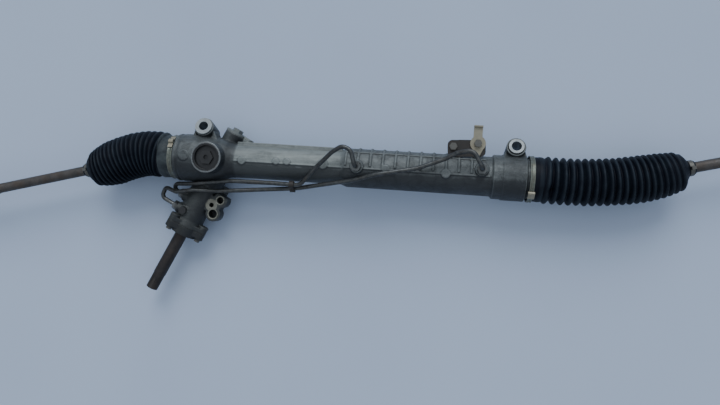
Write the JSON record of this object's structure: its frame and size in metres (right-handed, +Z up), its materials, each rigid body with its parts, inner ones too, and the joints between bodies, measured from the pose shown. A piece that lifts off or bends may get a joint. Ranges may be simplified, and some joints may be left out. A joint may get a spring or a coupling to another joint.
{
  "type": "steering rack",
  "caption": "Hydraulic power rack-and-pinion steering gear with rotary valve, steel transfer pipes, bushed mounting lugs, rubber boots and inner tie rods.",
  "frame": {"origin": "centre of the rubber-bushed mounting sleeve on the pinion head", "axes": "+X along the rack towards the far tie rod, +Z up along the yoke axis, +Y to the side of the two mounting lugs"},
  "size_m": [1.4006, 0.3138, 0.1036],
  "materials": {
    "cast_alloy": "sand-cast, weathered",
    "steel": "ground",
    "rust_steel": "oiled, rusted",
    "zinc": "dull zinc plate",
    "yellow_zinc": "olive passivated",
    "pipe_steel": "dark coated",
    "black_paint": "black, worn",
    "bearing": "polished",
    "boot_rubber": "satin moulded",
    "bush_rubber": "matt",
    "seal_rubber": "matt",
    "ptfe": "smooth",
    "nylon": "smooth",
    "spring_steel": "drawn"
  },
  "bodies": {
    "housing": {"boot_clamp_far": "zinc", "boot_clamp_near": "zinc", "boot_far": "boot_rubber", "boot_near": "boot_rubber", "bracket_clip": "yellow_zinc", "bracket_screws": "yellow_zinc", "housing_o_rings": "seal_rubber", "input_shaft_bearing": "bearing", "input_shaft_seal": "seal_rubber", "mount_bushes": "bush_rubber", "mount_sleeves": "zinc", "pinion_bearing_outer": "bearing", "pinion_end_cap": "cast_alloy", "pinion_upper_bearing": "bearing", "pipe_bracket": "black_paint", "pipe_clip": "black_paint", "pipe_nuts": "pipe_steel", "rack_bush": "steel", "rack_bush_snap_ring": "spring_steel", "rack_housing_barrel": "cast_alloy", "rack_housing_end": "cast_alloy", "rack_housing_head": "cast_alloy", "rack_inner_seal": "seal_rubber", "rack_outer_seal": "seal_rubber", "seal_snap_ring": "spring_steel", "transfer_pipe_far": "pipe_steel", "transfer_pipe_near": "pipe_steel", "valve_cover": "cast_alloy", "valve_cover_bolts": "zinc", "valve_housing": "cast_alloy", "valve_housing_bolts": "zinc", "valve_plug": "zinc", "yoke": "cast_alloy", "yoke_liner": "ptfe", "yoke_plug": "cast_alloy", "yoke_spring": "spring_steel"},
    "rack": {"rack_bar": "steel", "piston": "steel", "piston_ring": "ptfe", "piston_snap_rings": "spring_steel", "lock_washers": "zinc", "ball_socket_near": "steel", "ball_socket_far": "steel"},
    "pinion": {"pinion": "steel", "pinion_bearing_inner": "bearing", "pinion_lock_nut": "zinc", "torsion_bar": "steel", "torsion_pin_lower": "steel", "valve_sleeve": "steel", "valve_sleeve_rings": "ptfe"},
    "input_shaft": {"input_shaft": "rust_steel", "torsion_pin_upper": "steel"},
    "near_ball_seat": {"ball_seat_near": "nylon"},
    "near_boot_end": {"boot_small_clamp_near": "zinc"},
    "near_tie_rod": {"tie_rod_near": "rust_steel", "jam_nut_near": "rust_steel"},
    "far_ball_seat": {"ball_seat_far": "nylon"},
    "far_boot_end": {"boot_small_clamp_far": "zinc"},
    "far_tie_rod": {"tie_rod_far": "rust_steel", "jam_nut_far": "rust_steel"}
  },
  "joints": [
    {"name": "rack_slide", "type": "slide", "parent": "housing", "child": "rack", "axis": [1, 0, 0], "range_m": [-0.112, 0.033], "deforming": ["boot_near", "boot_far"]},
    {"name": "pinion_turn", "type": "hinge", "parent": "housing", "child": "pinion", "pos_m": [0.02, -0.0425, -0.017], "axis": [-0.4371, -0.8994, 0], "range_deg": [-240, 806]},
    {"name": "input_shaft_twist", "type": "hinge", "parent": "pinion", "child": "input_shaft", "pos_m": [-0.02371, -0.13244, -0.017], "axis": [-0.4371, -0.8994, 0], "range_deg": [-6, 6], "stiffness_Nm_per_rad": 98, "deforming": ["torsion_bar"]},
    {"name": "near_rod_swing", "type": "hinge", "parent": "rack", "child": "near_ball_seat", "pos_m": [-0.077, -0.0425, 0], "axis": [0, 0, 1], "range_deg": [-34.6, 5.4], "deforming": ["boot_near"]},
    {"name": "near_rod_lift", "type": "hinge", "parent": "near_ball_seat", "child": "near_boot_end", "pos_m": [-0.077, -0.0425, 0], "axis": [-0.2521, 0.9677, 0], "range_deg": [-14, 14], "deforming": ["boot_near"]},
    {"name": "near_rod_spin", "type": "hinge", "parent": "near_boot_end", "child": "near_tie_rod", "pos_m": [-0.077, -0.0425, 0], "axis": [-0.9677, -0.2521, 0], "continuous": true},
    {"name": "far_rod_swing", "type": "hinge", "parent": "rack", "child": "far_ball_seat", "pos_m": [0.593, -0.0425, 0], "axis": [0, 0, 1], "range_deg": [-34.6, 5.4], "deforming": ["boot_far"]},
    {"name": "far_rod_lift", "type": "hinge", "parent": "far_ball_seat", "child": "far_boot_end", "pos_m": [0.593, -0.0425, 0], "axis": [-0.2521, 0.9677, 0], "range_deg": [-14, 14], "deforming": ["boot_far"]},
    {"name": "far_rod_spin", "type": "hinge", "parent": "far_boot_end", "child": "far_tie_rod", "pos_m": [0.593, -0.0425, 0], "axis": [0.9677, 0.2521, 0], "continuous": true}
  ],
  "couplings": [
    {"joint": "pinion_turn", "follows": "rack_slide", "rad_per_m": -125}
  ]
}
